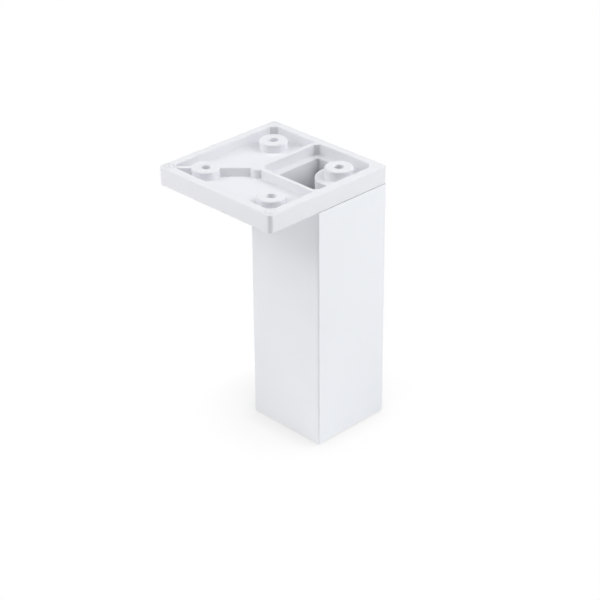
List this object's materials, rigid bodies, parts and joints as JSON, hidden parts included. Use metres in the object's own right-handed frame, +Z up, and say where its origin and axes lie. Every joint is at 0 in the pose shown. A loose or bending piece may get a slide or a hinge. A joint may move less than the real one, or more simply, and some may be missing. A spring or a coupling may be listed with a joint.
{
  "type": "adjustable cabinet leg",
  "caption": "Square tube cabinet leg with an offset moulded mounting plate on top and a screw-adjusted swivelling glide in its lower end.",
  "frame": {"origin": "on the floor under the middle of the tube, at the sole of the glide pad screwed fully in", "axes": "+Z up along the tube; the plate's corner over the tube lies towards +X and -Y, and the plate reaches out towards -X and +Y"},
  "size_m": [0.067, 0.067, 0.12],
  "materials": {
    "plate_plastic": "satin",
    "tube_paint": "matte",
    "insert_plastic": "satin",
    "zinc_steel": "satin",
    "pad_plastic": "satin"
  },
  "bodies": {
    "leg": {"mounting_plate": "plate_plastic", "leg_tube": "tube_paint", "end_insert": "insert_plastic", "thread_nut": "zinc_steel"},
    "pad": {"glide_pad": "pad_plastic"},
    "spindle": {"spindle": "zinc_steel"}
  },
  "joints": [
    {"name": "foot_extend", "type": "slide", "parent": "leg", "child": "pad", "axis": [0, 0, -1], "range_m": [0, 0.015]},
    {"name": "spindle_turn", "type": "hinge", "parent": "pad", "child": "spindle", "pos_m": [0, 0, 0.01], "axis": [0, 0, -1], "range_deg": [0, 3600]}
  ],
  "couplings": [
    {"joint": "spindle_turn", "follows": "foot_extend", "rad_per_m": 4188.8}
  ]
}
